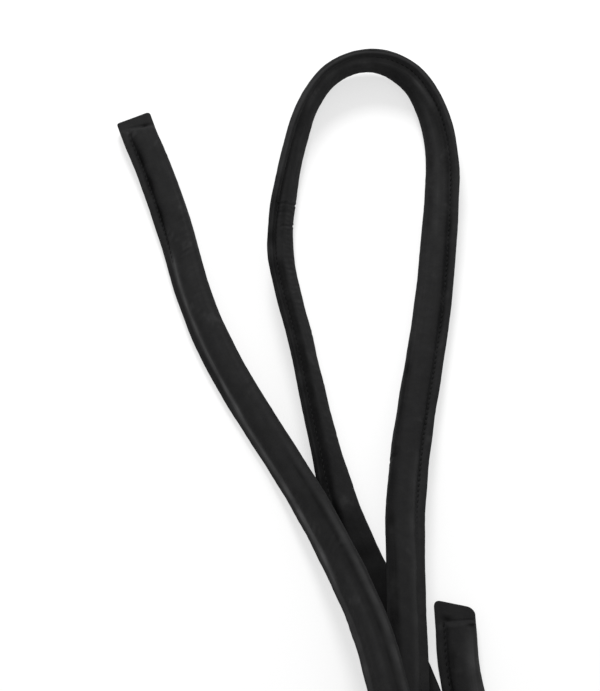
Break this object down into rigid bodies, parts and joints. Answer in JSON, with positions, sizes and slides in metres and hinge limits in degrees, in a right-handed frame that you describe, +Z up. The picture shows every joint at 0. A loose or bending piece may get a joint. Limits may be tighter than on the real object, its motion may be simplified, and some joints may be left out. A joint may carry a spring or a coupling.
{
  "type": "leather reins",
  "caption": "Pair of padded leather riding reins with a sewn seam edge and blunt tails, each ending in a swivel bolt snap, laid down with one long loop and a flat tied hank.",
  "frame": {"origin": "centre of the laid-down outline on the surface that the reins lie on", "axes": "+X across the reins, +Y along them towards the long loop, +Z up"},
  "size_m": [0.215, 0.8, 0.0325],
  "materials": {
    "cover_leather": "black, fine grain, satin",
    "chape_leather": "black, smooth, satin",
    "tie_leather": "black, smooth, satin",
    "core_cord": "plain cord",
    "thread": "waxed black thread",
    "rivet_metal": "copper",
    "snap_metal": "nickel plated",
    "bolt_metal": "turned steel",
    "spring_wire": "bright wire"
  },
  "bodies": {
    "reins": {"left_rein_cover": "cover_leather", "left_rein_core": "core_cord", "left_rein_upper_thread": "thread", "left_rein_lower_thread": "thread", "left_rein_chape": "chape_leather", "left_rein_rivet": "rivet_metal", "left_rein_burr": "rivet_metal", "left_snap_eye": "snap_metal", "right_rein_cover": "cover_leather", "right_rein_core": "core_cord", "right_rein_upper_thread": "thread", "right_rein_lower_thread": "thread", "right_rein_chape": "chape_leather", "right_rein_rivet": "rivet_metal", "right_rein_burr": "rivet_metal", "right_snap_eye": "snap_metal", "left_hank_tie": "tie_leather", "right_hank_tie": "tie_leather"},
    "left_hook": {"left_snap_body": "snap_metal", "left_snap_spring": "spring_wire"},
    "left_bolt": {"left_snap_bolt": "bolt_metal", "left_snap_thumb_stud": "bolt_metal"},
    "right_hook": {"right_snap_body": "snap_metal", "right_snap_spring": "spring_wire"},
    "right_bolt": {"right_snap_bolt": "bolt_metal", "right_snap_thumb_stud": "bolt_metal"}
  },
  "joints": [
    {"name": "left_swivel", "type": "hinge", "parent": "reins", "child": "left_hook", "pos_m": [-0.02155, -0.0404, 0.0051], "axis": [0, 1, 0], "continuous": true},
    {"name": "left_bolt_slide", "type": "slide", "parent": "left_hook", "child": "left_bolt", "axis": [0, -1, 0], "range_m": [0, 0.011], "stiffness_N_per_m": 300, "springref_m": -0.003, "deforming": ["left_snap_spring"]},
    {"name": "right_swivel", "type": "hinge", "parent": "reins", "child": "right_hook", "pos_m": [0.07345, -0.0804, 0.0051], "axis": [0, -1, 0], "continuous": true},
    {"name": "right_bolt_slide", "type": "slide", "parent": "right_hook", "child": "right_bolt", "axis": [0, 1, 0], "range_m": [0, 0.011], "stiffness_N_per_m": 300, "springref_m": -0.003, "deforming": ["right_snap_spring"]}
  ]
}
